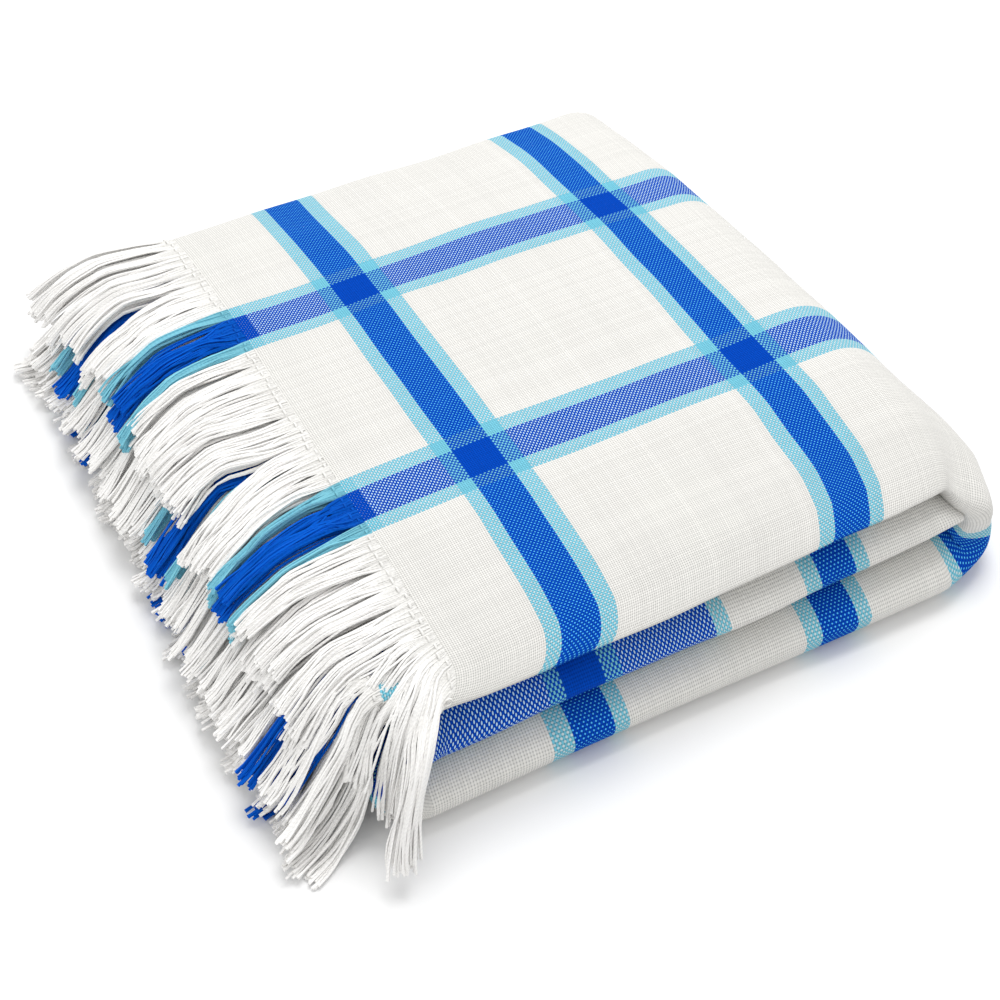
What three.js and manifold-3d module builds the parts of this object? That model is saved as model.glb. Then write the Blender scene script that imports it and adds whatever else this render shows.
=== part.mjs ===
// A fringed check shuka blanket, folded into a pack. All sizes are in millimetres and +Z is up.
// The origin is under the middle of the pack, on the surface it rests on.
// X runs from the fringed end (-X) to the rounded end fold (+X), and the near rolled edge is on -Y.
//
// The cloth is one sheet, folded the way a person folds it:
//   1. in half along its length, so that both fringed ends lie together (two sheets, a outside and b inside),
//   2. in half across its width and in half again, so that the near edge is one thick rolled fold,
//   3. in thirds along its length: the closed end goes in the middle, and the fringed end comes over the top.
import * as THREE from "three";
import { mergeVertices } from "three/addons/utils/BufferGeometryUtils.js";
import Module from "manifold-3d";

const wasm = await Module();
wasm.setup();

// Driving dimensions.
const CLOTH = 1.4; // thickness of the woven cloth
const SHEET_PITCH = 3.2; // from the middle of sheet a to the middle of sheet b
const LAYER_PITCH = 6.4; // from one pair of sheets to the next inside a panel
const PANEL_PITCH = 28; // from the middle of one panel to the next
const NEAR_Y = -191; // near rolled edge
const FAR_Y = 191; // far edge, where the selvedges lie
const RIGHT_X = 157; // outermost point of the rounded end fold
const HEADER_X = -151; // where the top sheet's fringe begins
const LEFT_FOLD_X = -160; // centre line of the hidden fold on the fringed side
const TIP_X = 121; // where the middle panel turns back on itself
const FRINGE_LENGTH = 82;
const HEADER_LENGTH = 6; // the hemstitched strip that holds the fringe
const CLEARANCE = 0.5; // between the cloth's edge and the header strip
const END_BULGE = 5; // how far the end fold sags outwards, below its middle
const PINCH = 2; // how far the rolled edge is drawn in where it turns the end fold

// Sizes worked out from them.
const PAIR_OUT = (SHEET_PITCH + CLOTH) / 2; // outer faces of a pair of sheets, from its middle
const PAIR_IN = (SHEET_PITCH - CLOTH) / 2; // inner faces
const H_OUTER = 1.5 * LAYER_PITCH; // middle of the outermost pairs, from the panel's middle
const H_INNER = 0.5 * LAYER_PITCH;
const PANEL_HALF = H_OUTER + PAIR_OUT;
const Z_BOTTOM = PANEL_HALF;
const Z_MIDDLE = Z_BOTTOM + PANEL_PITCH;
const Z_TOP = Z_MIDDLE + PANEL_PITCH;
const END_FOLD_X = RIGHT_X - END_BULGE - PANEL_PITCH - PANEL_HALF; // centre line of the rounded end fold
const PACK_HEIGHT = Z_TOP + PANEL_HALF;

// Rolled near edge, as quarter ellipses: how far each half reaches in from the edge, for each panel.
// "outer" is the half on the side of layer 1, which is up in the top and middle panels and down in the bottom one.
const ROLLS = {
  top: { edge: NEAR_Y + 1, outer: 26, inner: 8 },
  end: { edge: NEAR_Y + 5, outer: 14, inner: 9 },
  bottom: { edge: NEAR_Y - 6, outer: 9, inner: 14 },
  left: { edge: NEAR_Y - 2, outer: 9, inner: 10 },
  middle: { edge: NEAR_Y, outer: 9, inner: 10 },
};
const INNER_ROLL_BACK = 17; // the nested roll's edge behind the outer roll's
const INNER_ROLL_DEPTH = 4;
const LIP = 12; // how far the top layer's selvedge curves down over the far edge

// How much further the fringed end of each layer reaches than the top layer's, towards -X.
const END_SHIFT = { layer1: 0, layer2: 33, layer3: 31, layer4: 29 };
const SHEET_SHIFT = { a: 0, b: 4 };

// How the pack settles, as shares of the height and as shifts of its sides.
const CROWN = 0.04; // the middle of the top stands up
const FAR_FALL = 0.19; // the pack is lower at its far edge
const FAR_TAPER = 16; // and narrower on the end fold's side
const NEAR_SKEW = 5; // the near edge runs out a little towards the end fold
const TIP_TAPER = 0.2; // the middle panel is squeezed thinner at its closed end

const lerp = THREE.MathUtils.lerp;
const smooth = THREE.MathUtils.smoothstep;
const clamp = THREE.MathUtils.clamp;

// The width of the cloth, as a section across the panel. Each row is a stretch of the section.
const ACROSS = [
  { name: "lip", cells: 2 },
  { name: "layer1", cells: 4 },
  { name: "rollOuter", cells: 7 },
  { name: "layer2", cells: 4 },
  { name: "farFold", cells: 4 },
  { name: "layer3", cells: 4 },
  { name: "rollInner", cells: 4 },
  { name: "layer4", cells: 4 },
];
// Where every layer has its grid lines, between its far end and its near end, so that the layers stay parallel.
const LAYER_LINES = [130, 40, -60];
// Half of the length of the cloth, from its fringed end to the closed end in the middle panel.
const ALONG = [
  { name: "top", cells: 5 },
  { name: "end", cells: 8 },
  { name: "bottom", cells: 3 },
  { name: "left", cells: 6 },
  { name: "middle", cells: 3 },
];
const TIP_CELLS = 4;

// A list of stops, one for each line of the grid: the stretch it lies in and how far along, from 0 to 1.
function stops(rows) {
  const list = [{ name: rows[0].name, at: 0 }];
  for (const { name, cells } of rows)
    for (let i = 1; i <= cells; i++) list.push({ name, at: i / cells });
  return list;
}
const acrossStops = stops(ACROSS);
const alongStops = stops(ALONG);

// A place along a row of grid lines, with at from 0 at the first one to 1 at the last one.
function alongLines(at, lines) {
  const cells = lines.length - 1;
  const i = Math.min(Math.floor(at * cells), cells - 1);
  return lerp(lines[i], lines[i + 1], at * cells - i);
}

// The section's own point, with no thickness: y across the pack and h from the panel's middle.
function sectionPoint({ name, at }, roll) {
  const apex = roll.edge + PAIR_OUT;
  const turn = at * Math.PI;
  const nestedApex = apex + INNER_ROLL_BACK;
  switch (name) {
    case "lip": {
      const a = (1 - at) * (Math.PI / 2) * 0.8;
      return [FAR_Y - LIP + (LIP - PAIR_OUT) * Math.sin(a), H_OUTER - LIP * 0.7 * (1 - Math.cos(a))];
    }
    case "layer1":
      return [alongLines(at, [FAR_Y - LIP, ...LAYER_LINES, apex + roll.outer]), H_OUTER];
    case "rollOuter": {
      const reach = at < 0.5 ? roll.outer : roll.inner;
      return [apex + reach * (1 - Math.sin(turn)), H_OUTER * Math.cos(turn)];
    }
    case "layer2":
      return [alongLines(1 - at, [FAR_Y - 10, ...LAYER_LINES, apex + roll.inner]), -H_OUTER];
    case "farFold":
      return [FAR_Y - 10 + H_INNER * Math.sin(turn), -LAYER_PITCH - H_INNER * Math.cos(turn)];
    case "layer3":
      return [alongLines(at, [FAR_Y - 10, ...LAYER_LINES, nestedApex + INNER_ROLL_DEPTH]), -H_INNER];
    case "rollInner":
      return [nestedApex + INNER_ROLL_DEPTH * (1 - Math.sin(turn)), -H_INNER * Math.cos(turn)];
    case "layer4":
      return [alongLines(1 - at, [FAR_Y - 14, ...LAYER_LINES, nestedApex + INNER_ROLL_DEPTH]), H_INNER];
  }
}

// The same point moved off the section by n, along the section's normal. Layer 1's normal points outwards.
function sectionOffset(stop, roll, n) {
  const step = 0.02;
  const before = sectionPoint({ name: stop.name, at: Math.max(stop.at - step, 0) }, roll);
  const after = sectionPoint({ name: stop.name, at: Math.min(stop.at + step, 1) }, roll);
  const dy = after[0] - before[0];
  const dh = after[1] - before[1];
  const length = Math.hypot(dy, dh);
  const [y, h] = sectionPoint(stop, roll);
  return [y + (n * dh) / length, h - (n * dy) / length];
}

// How far the fringed end of the cloth reaches at a stop of the section.
function endX(stop, side) {
  const shifts = {
    lip: 0,
    layer1: 0,
    rollOuter: END_SHIFT.layer2 * smooth(stop.at, 0.1, 1),
    layer2: END_SHIFT.layer2,
    farFold: lerp(END_SHIFT.layer2, END_SHIFT.layer3, stop.at),
    layer3: END_SHIFT.layer3,
    rollInner: lerp(END_SHIFT.layer3, END_SHIFT.layer4, stop.at),
    layer4: END_SHIFT.layer4,
  };
  return HEADER_X - shifts[stop.name] - SHEET_SHIFT[side];
}

// The rolled edge's shape at a stop along the length, blended where one panel turns into the next.
function rollAt({ name, at }) {
  if (name === "top") return blendRolls(ROLLS.top, ROLLS.end, smooth(at, 0.8, 1) * 0.5);
  if (name === "end")
    return at < 0.5
      ? blendRolls(ROLLS.top, ROLLS.end, 0.5 + smooth(at, 0, 0.3) * 0.5)
      : blendRolls(ROLLS.end, ROLLS.bottom, smooth(at, 0.6, 1));
  if (name === "left") return at < 0.5
    ? blendRolls(ROLLS.bottom, ROLLS.left, at * 2)
    : blendRolls(ROLLS.left, ROLLS.middle, at * 2 - 1);
  return ROLLS[name];
}
function blendRolls(a, b, t) {
  return {
    edge: lerp(a.edge, b.edge, t),
    outer: lerp(a.outer, b.outer, t),
    inner: lerp(a.inner, b.inner, t),
  };
}

// A point of the pack: along the length, y across, and h from the middle of the panel there.
function packPoint({ name, at }, y, h, startX) {
  let x, z;
  if (name === "top") {
    x = alongLines(at, [startX, Math.max(startX + 2, HEAP[1].x), Math.max(startX + 4, HEAP[0].x), -70, 20, END_FOLD_X]);
    z = panelEnd(x, h);
  } else if (name === "end") {
    const turn = at * Math.PI;
    const sag = smooth(at, 0.2, 0.6) * (1 - smooth(at, 0.75, 1));
    x = END_FOLD_X + (PANEL_PITCH + h) * Math.sin(turn) + END_BULGE * sag;
    z = Z_MIDDLE + (PANEL_PITCH + h) * Math.cos(turn);
    y += PINCH * Math.sin(turn) ** 2 * clamp((-100 - y) / 90, 0, 1);
  } else if (name === "bottom") {
    x = lerp(END_FOLD_X, LEFT_FOLD_X, at);
    z = Z_BOTTOM - h;
  } else if (name === "left") {
    const turn = at * Math.PI;
    const radius = PANEL_PITCH / 2 + h;
    x = LEFT_FOLD_X - radius * Math.sin(turn);
    z = Z_BOTTOM + PANEL_PITCH / 2 - radius * Math.cos(turn);
  } else {
    x = lerp(LEFT_FOLD_X, TIP_X, at);
    z = Z_MIDDLE + h * (1 - TIP_TAPER * at ** 3);
  }
  return settle(x, y, z);
}

// Beyond the hidden fold the top panel's layers, and then the fringe, fall towards the surface as a heap.
// Each layer keeps its own place between the heap's top and its underside, so nothing crosses.
const HEAP = [
  { x: -150, top: Z_TOP + H_OUTER, under: Z_TOP - H_OUTER },
  { x: -170, top: 77, under: 57.6 },
  { x: -193, top: 74, under: 53.8 },
  { x: -203, top: 69, under: 46.5 },
  { x: -213, top: 62.5, under: 32.5 },
  { x: -224, top: 53, under: 17 },
  { x: -235, top: 40, under: 7 },
  { x: -246, top: 27.5, under: 2.7 },
  { x: -260, top: 19.5, under: 2.7 },
  { x: -300, top: 17, under: 2.7 },
];
const HEAP_NEAR = 14; // beyond the header the heap comes this much closer at the near corner

function heapX(row, y) {
  return row.x + HEAP_NEAR * smooth(-y, 130, 190) * clamp((-188 - row.x) / 30, 0, 1);
}

// A height in one row of the heap, for a place h from the panel's middle.
function heapHeight(row, h) {
  return (row.top + row.under) / 2 + (h / (2 * H_OUTER)) * (row.top - row.under);
}

// A height in the top panel, for a place h from the panel's middle.
function panelEnd(x, h) {
  if (x >= HEAP[0].x) return Z_TOP + h;
  const i = HEAP.findIndex((row) => row.x <= x);
  const [a, b] = [HEAP[i - 1], HEAP[i]];
  return lerp(heapHeight(a, h), heapHeight(b, h), (x - a.x) / (b.x - a.x));
}

// The pack's crown and its slight unevenness. Heights are scaled, so what lies on the surface stays flat.
function settle(x, y, z) {
  const crown = CROWN * (1 - Math.min((x / 175) ** 2, 1)) * (1 - Math.min((y / 205) ** 2, 1));
  const fall = FAR_FALL * clamp((y - 60) / (FAR_Y - 60), 0, 1.2) ** 2;
  const uneven = 0.01 * Math.sin(x / 37 + 1.3) * Math.sin(y / 53 + 0.4);
  const taper = FAR_TAPER * smooth(y, -70, FAR_Y) * clamp(x / RIGHT_X, 0, 1) ** 4;
  const skew = NEAR_SKEW * smooth(-y, 60, 190) * smooth(x, -120, 120) * (1 - 0.5 * smooth(z, 30, 70));
  return new THREE.Vector3(x - taper, y - skew, z * (1 + crown + uneven - fall));
}

// A closed mesh made by folding a flat slab: place gives each grid line's point, on the outer or the inner face.
function foldedSlab(cellsAlong, cellsAcross, place) {
  const slab = new THREE.BoxGeometry(cellsAcross, cellsAlong, 1, cellsAcross, cellsAlong, 1);
  slab.deleteAttribute("normal");
  slab.deleteAttribute("uv");
  const folded = mergeVertices(slab);
  const points = folded.getAttribute("position");
  for (let i = 0; i < points.count; i++) {
    const across = Math.round(points.getX(i) + cellsAcross / 2);
    const along = Math.round(points.getY(i) + cellsAlong / 2);
    const p = place(along, across, points.getZ(i) > 0);
    points.setXYZ(i, p.x, p.y, p.z);
  }
  return folded;
}

// The whole cloth. Along its length it runs over sheet a, round the closed end and back over sheet b.
function clothGeometry() {
  const half = alongStops.length - 1;
  const last = alongStops[half];
  const cellsAlong = 2 * half + TIP_CELLS;
  return foldedSlab(cellsAlong, acrossStops.length - 1, (along, across, outside) => {
    const stop = acrossStops[across];
    const reach = outside ? PAIR_OUT : PAIR_IN;
    const side = along <= half ? "a" : "b";
    if (along > half && along < half + TIP_CELLS) {
      const turn = ((along - half) / TIP_CELLS) * Math.PI;
      const [y, h] = sectionOffset(stop, ROLLS.middle, reach * Math.cos(turn));
      const p = packPoint(last, y, h, 0);
      return p.setX(p.x + reach * Math.sin(turn));
    }
    const place = side === "a" ? alongStops[along] : alongStops[cellsAlong - along];
    const [y, h] = sectionOffset(stop, rollAt(place), side === "a" ? reach : -reach);
    return packPoint(place, y, h, endX(stop, side));
  });
}

// The hemstitched header strip of one end, just beyond the cloth's edge and folded with it.
function headerGeometry(side) {
  const sign = side === "a" ? 1 : -1;
  return foldedSlab(1, acrossStops.length - 1, (along, across, outside) => {
    const stop = acrossStops[across];
    const n = sign * (outside === (side === "a") ? PAIR_OUT : PAIR_IN);
    const [y, h] = sectionOffset(stop, ROLLS.top, n);
    const edge = endX(stop, side) - CLEARANCE;
    const x = along === 1 ? edge : edge - HEADER_LENGTH;
    return settle(x, y, panelEnd(x, h));
  });
}

// The sideways sway of the fringe at a place, with s from 0 at the root to 1 at the tip. It fans out at both corners.
function sway(y, s) {
  const wave = 4 * Math.sin(y / 15.5 + 0.7) + 3 * Math.sin(y / 37) - 3;
  const fan = 40 * smooth(y, 110, FAR_Y) - 16 * smooth(-y, 120, -NEAR_Y);
  return s ** 1.4 * (wave + fan);
}

// The middle line of one lock, cut to its length. It is worked out between the two nearest grid lines of the section,
// as the header strip is, and it turns only at the heap's rows.
function lockPath(name, at, side, length) {
  const cells = ACROSS.find((row) => row.name === name).cells;
  const cell = Math.min(Math.floor(at * cells), cells - 1);
  const ends = [cell, cell + 1].map((i) => {
    const stop = { name, at: i / cells };
    const [y, h] = sectionOffset(stop, ROLLS.top, ((side === "a" ? 1 : -1) * SHEET_PITCH) / 2);
    return { y, h, x: endX(stop, side) - CLEARANCE - HEADER_LENGTH / 2 };
  });
  const between = (point) => point(ends[0]).lerp(point(ends[1]), at * cells - cell);
  const root = between(({ x, y, h }) => settle(x, y, panelEnd(x, h)));
  const line = [root];
  for (const row of HEAP) {
    const p = between(({ y, h }) => settle(heapX(row, y), y, heapHeight(row, h)));
    if (p.x < root.x - 5) line.push(p);
  }
  const path = [root];
  for (let i = 1, left = length; left > 0; i++) {
    const leg = line[i].clone().sub(line[i - 1]);
    path.push(line[i - 1].clone().addScaledVector(leg, Math.min(left / leg.length(), 1)));
    left -= leg.length();
  }
  return path.map((p) => p.clone().setY(p.y + sway(root.y, (root.x - p.x) / length)));
}

// One lock of yarns: three sides, widest past its root and cut off at its tip.
function lockSolid(points, width, thickness) {
  const steps = points.length - 1;
  const tube = new THREE.CylinderGeometry(1, 1, steps, 3, steps);
  tube.deleteAttribute("normal");
  tube.deleteAttribute("uv");
  const lock = mergeVertices(tube);
  const places = lock.getAttribute("position");
  for (let i = 0; i < places.count; i++) {
    const k = Math.round(steps / 2 - places.getY(i));
    const [before, after] = [points[Math.max(k - 1, 0)], points[Math.min(k + 1, steps)]];
    const heading = after.clone().sub(before).setY(0).normalize();
    const up = new THREE.Vector3(-heading.z, 0, heading.x).multiplyScalar(-1);
    if (up.z < 0) up.negate();
    const p = points[k].clone();
    p.y += places.getX(i) * (width / Math.sqrt(3));
    p.addScaledVector(up, places.getZ(i) * (thickness / 1.5));
    places.setXYZ(i, p.x, p.y, p.z);
  }
  return solidOf(lock);
}

function solidOf(geometry) {
  const plain = mergeVertices(geometry);
  const triangles = new Uint32Array(plain.index.array);
  const made = (order) =>
    new wasm.Manifold(
      new wasm.Mesh({ numProp: 3, vertProperties: new Float32Array(plain.getAttribute("position").array), triVerts: order }),
    );
  const solid = made(triangles);
  if (solid.volume() > 0) return solid;
  for (let i = 0; i < triangles.length; i += 3)
    [triangles[i + 1], triangles[i + 2]] = [triangles[i + 2], triangles[i + 1]];
  return made(triangles);
}

function geometryOf(solid) {
  const mesh = solid.getMesh();
  return new THREE.BufferGeometry()
    .setAttribute("position", new THREE.BufferAttribute(mesh.vertProperties, 3))
    .setIndex(new THREE.BufferAttribute(mesh.triVerts, 1));
}

// Even places along one stretch of the section.
function evenly(name, count) {
  const cells = ACROSS.find((row) => row.name === name).cells;
  const points = Array.from({ length: cells + 1 }, (_, i) => sectionPoint({ name, at: i / cells }, ROLLS.top));
  const run = [0];
  for (let i = 1; i <= cells; i++)
    run.push(run[i - 1] + Math.hypot(points[i][0] - points[i - 1][0], points[i][1] - points[i - 1][1]));
  return Array.from({ length: count }, (_, k) => {
    const target = ((k + 0.5) / count) * run[cells];
    const i = run.findIndex((r) => r >= target);
    return (i - 1 + (target - run[i - 1]) / (run[i] - run[i - 1])) / cells;
  });
}

// Where the locks stand, as a number of locks on each stretch of each sheet.
const LOCKS = {
  a: { layer1: 30, rollOuter: 4, layer2: 12, layer3: 10, layer4: 16 },
  b: { layer1: 16, rollOuter: 2, layer2: 10, layer3: 9, layer4: 14 },
};
const LOCK_WIDTH = 7.4;
const LOCK_THICKNESS = 1.5;
const ROLL_LOCK_WIDTH = 2.6; // where the header stands on edge, round the rolled edge

function fringeGeometry(side) {
  const solids = [solidOf(headerGeometry(side))];
  for (const [name, count] of Object.entries(LOCKS[side]))
    for (const [i, at] of evenly(name, count).entries()) {
      const length = FRINGE_LENGTH + 4 * Math.sin(i * 2.4 + count);
      const path = lockPath(name, at, side, length);
      solids.push(lockSolid(path, name === "rollOuter" ? ROLL_LOCK_WIDTH : LOCK_WIDTH, LOCK_THICKNESS));
    }
  return geometryOf(wasm.Manifold.union(solids));
}

const wovenWhite = new THREE.MeshStandardMaterial({ color: "#f1efe9", roughness: 0.92, metalness: 0 });
const fringeWhite = new THREE.MeshStandardMaterial({ color: "#efeeea", roughness: 0.88, metalness: 0 });

function piece(name, geometry, material) {
  const mesh = new THREE.Mesh(geometry, material);
  mesh.name = name;
  return mesh;
}

const blanket = new THREE.Group();
blanket.add(piece("folded_cloth", clothGeometry(), wovenWhite));
blanket.add(piece("fringe_outer_end", fringeGeometry("a"), fringeWhite));
blanket.add(piece("fringe_inner_end", fringeGeometry("b"), fringeWhite));

export default blanket;
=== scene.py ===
"""A folded blanket with a windowpane check and fringed ends.

One sheet of cloth is folded in half along its length, in quarters across its width and then in thirds.
Sizes are in millimetres unless a name or unit says otherwise, and +Z is up.
"""

import math

import bpy
import numpy as np
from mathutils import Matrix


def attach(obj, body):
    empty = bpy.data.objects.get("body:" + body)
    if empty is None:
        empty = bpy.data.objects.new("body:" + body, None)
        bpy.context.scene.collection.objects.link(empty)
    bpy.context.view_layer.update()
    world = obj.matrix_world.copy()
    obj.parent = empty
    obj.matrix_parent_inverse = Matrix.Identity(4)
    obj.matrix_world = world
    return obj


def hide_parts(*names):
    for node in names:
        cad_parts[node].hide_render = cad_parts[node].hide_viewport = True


bl_info = {
    "name": "Folded Check Blanket",
    "version": (1, 0, 0),
    "blender": (4, 5, 0),
    "location": "View3D > Sidebar > Blanket",
    "description": "Builds a folded, fringed check blanket over its packed solids",
    "category": "Add Mesh",
}

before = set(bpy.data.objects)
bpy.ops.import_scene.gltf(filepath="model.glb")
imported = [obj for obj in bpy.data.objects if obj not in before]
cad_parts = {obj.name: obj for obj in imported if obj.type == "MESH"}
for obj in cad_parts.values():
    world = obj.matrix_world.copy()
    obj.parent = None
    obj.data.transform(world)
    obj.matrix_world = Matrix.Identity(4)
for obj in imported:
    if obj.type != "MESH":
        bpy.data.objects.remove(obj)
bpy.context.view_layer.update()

MM = 0.001

# The folded pack, as its solids are.
CLOTH = 1.4
SHEET_PITCH = 3.2
LAYER_PITCH = 6.4
PANEL_PITCH = 28.0
NEAR_Y = -191.0
FAR_Y = 191.0
RIGHT_X = 157.0
HEADER_X = -151.0
LEFT_FOLD_X = -160.0
TIP_X = 121.0
END_BULGE = 5.0
PINCH = 2.0
PAIR_OUT = (SHEET_PITCH + CLOTH) / 2
PAIR_IN = (SHEET_PITCH - CLOTH) / 2
H_OUTER = 1.5 * LAYER_PITCH
H_INNER = 0.5 * LAYER_PITCH
PANEL_HALF = H_OUTER + PAIR_OUT
Z_BOTTOM = PANEL_HALF
Z_MIDDLE = Z_BOTTOM + PANEL_PITCH
Z_TOP = Z_MIDDLE + PANEL_PITCH
END_FOLD_X = RIGHT_X - END_BULGE - PANEL_PITCH - PANEL_HALF

# The rolled near edge: its outermost y, and how far its outer and inner halves reach in from there.
ROLLS = {
    "top": (NEAR_Y + 1, 26, 8),
    "end": (NEAR_Y + 5, 14, 9),
    "bottom": (NEAR_Y - 6, 9, 14),
    "left": (NEAR_Y - 2, 9, 10),
    "middle": (NEAR_Y, 9, 10),
}
INNER_ROLL_BACK = 17.0
INNER_ROLL_DEPTH = 4.0
LIP = 12.0
END_SHIFT = {"layer1": 0.0, "layer2": 33.0, "layer3": 31.0, "layer4": 29.0}
SHEET_SHIFT = {"a": 0.0, "b": 4.0}
CROWN = 0.04
FAR_FALL = 0.19
FAR_TAPER = 16.0
NEAR_SKEW = 5.0
TIP_TAPER = 0.2

# Stretches of the section across a panel, with their grid cells.
ACROSS = [
    ("lip", 8),
    ("layer1", 64),
    ("rollOuter", 24),
    ("layer2", 18),
    ("farFold", 6),
    ("layer3", 18),
    ("rollInner", 6),
    ("layer4", 18),
]
# Stretches along half of the cloth's length: name, cells of sheet a, cells of sheet b, start and end in its length.
ALONG = [
    ("top", 58, 18, 0.0, 263.0),
    ("end", 34, 18, 263.0, 385.0),
    ("bottom", 26, 14, 385.0, 657.0),
    ("left", 14, 10, 657.0, 736.0),
    ("middle", 30, 14, 736.0, 1017.0),
]
TIP_CELLS = 10

# The check. Stripes along the length repeat across the width; the cross stripes are listed by their middles.
WHITE, BLUE, LIGHT_BLUE = 0, 1, 2
REPEAT = 147.0
BAND = 10.5  # from a stripe's middle to the edge of its blue band
BORDER = 19.0  # and to the edge of its light blue border
FIRST_STRIPE_Y = 78.0  # where the first stripe lies on the top panel
WIDTH_SCALE = REPEAT / 145.0
CROSS_STRIPES = [67.0, 224.0, 360.5, 450.0, 589.0, 703.0, 803.0, 945.0]
MIDDLE_SHIFT = 19.5  # the middle panel was rolled this much further round
BOTTOM_SHIFT = -30.0
ROLL_STRIPE_END = 874.0  # where the stripe on the middle roll stops
HEADER_LENGTH = 6.5  # the tied strip of the cloth beside its fringe
WANDER = 3.0  # how far the woven lines wander

# The fringes: what part of the cloth's width lies on top, and how their yarns are tied.
TOP_WIDTH = 428.0
GROUND_BUNCHES = 10
TIE_WIDTH = 4.5
YARN_SIDES = 4
KNOT_PLACE = 3.0  # from the cloth's edge
KNOT_REACH = 1.8
FLOOR_GAP = 1.2  # the lowest that a lock's middle lies
# Where the bunches' colours depart from the woven stripes. On top, the white lock at the near corner begins between
# two places across the cloth. Below, nearer than two places in y, all bunches are white and then most of them, and
# between the last two the light blue ones are blue.
CORNER_LOCK = (366.0, 384.0)
WHITE_BELOW_Y = -156.0
MOSTLY_WHITE_Y = -148.0
BLUE_BELOW_Y = (-146.0, -118.0)

# The heap that the fringed ends lie in, beyond the hidden fold: x, its top and its underside.
HEAP = [
    (-150.0, Z_TOP + H_OUTER, Z_TOP - H_OUTER),
    (-170.0, 77.0, 57.6),
    (-193.0, 74.0, 53.8),
    (-203.0, 69.0, 46.5),
    (-213.0, 62.5, 32.5),
    (-224.0, 53.0, 17.0),
    (-235.0, 40.0, 7.0),
    (-246.0, 27.5, 2.7),
    (-260.0, 19.5, 2.7),
    (-300.0, 17.0, 2.7),
]
HEAP_NEAR = 14.0  # how much closer to the pack its foot lies at the near corner
# How a lock at the near corner hangs instead: x, how far it swings out, and its height.
HANG = [
    (-157.0, 0.0, 77.5),
    (-166.5, 3.0, 74.5),
    (-176.0, 8.0, 67.0),
    (-184.0, 12.0, 53.0),
    (-190.0, 15.0, 36.0),
    (-194.5, 18.0, 18.0),
    (-198.0, 21.0, 4.0),
    (-213.0, 24.0, 2.2),
]
# Where the top locks part and show the ones below: y and how far they move aside.
PARTINGS = [(129.0, 11.0), (-16.0, 12.0), (-149.0, 8.0)]

# The stage, in metres. Each lamp has a share of the light's power, a place and a target.
FLOOR_GREY = 0.845
SKY_STRENGTH = 0.86
LAMP_SIZE = 1.2
LAMPS = [
    ("main_light", 1.0, (0.45, 0.5, 1.8), (0, 0, 0)),
    ("fringe_light", 0.1, (-1.5, -0.1, 0.9), (-0.15, 0, 0)),
]
CAMERA_PLACE = (-0.3404, -0.5646, 0.6643)
CAMERA_TARGET = (-0.08754, -0.09413, 0.079)
CAMERA_LENS = 59.30
CAMERA_SENSOR = 36.0


# ---------------------------------------------------------------- folds


def smooth(x, low, high):
    """A soft ramp from 0 at low to 1 at high, which may be the smaller."""
    t = np.clip((np.asarray(x, float) - low) / (high - low), 0, 1)
    return t * t * (3 - 2 * t)


def lerp(a, b, t):
    return a + (b - a) * t


def section_point(name, at, roll):
    """A point of the section across a panel, with no thickness: y across and h from the panel's middle."""
    edge, outer, inner = roll
    apex = edge + PAIR_OUT
    turn = at * math.pi
    nested = apex + INNER_ROLL_BACK
    if name == "lip":
        a = (1 - at) * (math.pi / 2) * 0.8
        return FAR_Y - LIP + (LIP - PAIR_OUT) * math.sin(a), H_OUTER - LIP * 0.7 * (1 - math.cos(a))
    if name == "layer1":
        return lerp(FAR_Y - LIP, apex + outer, at), H_OUTER
    if name == "rollOuter":
        reach = outer if at < 0.5 else inner
        return apex + reach * (1 - math.sin(turn)), H_OUTER * math.cos(turn)
    if name == "layer2":
        return lerp(apex + inner, FAR_Y - 10, at), -H_OUTER
    if name == "farFold":
        return FAR_Y - 10 + H_INNER * math.sin(turn), -LAYER_PITCH - H_INNER * math.cos(turn)
    if name == "layer3":
        return lerp(FAR_Y - 10, nested + INNER_ROLL_DEPTH, at), -H_INNER
    if name == "rollInner":
        return nested + INNER_ROLL_DEPTH * (1 - math.sin(turn)), -H_INNER * math.cos(turn)
    return lerp(nested + INNER_ROLL_DEPTH, FAR_Y - 14, at), H_INNER


def section_offset(name, at, roll, n):
    """The same point moved off the section by n. Layer 1's normal points outwards."""
    step = 0.02
    before = section_point(name, max(at - step, 0), roll)
    after = section_point(name, min(at + step, 1), roll)
    dy, dh = after[0] - before[0], after[1] - before[1]
    length = math.hypot(dy, dh)
    y, h = section_point(name, at, roll)
    return y + n * dh / length, h - n * dy / length


def section_offsets(across, roll, n):
    """y and h of every place across, moved off the section by n."""
    points = np.array([section_offset(name, at, roll, n) for name, at in across])
    return points[:, 0], points[:, 1]


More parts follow.
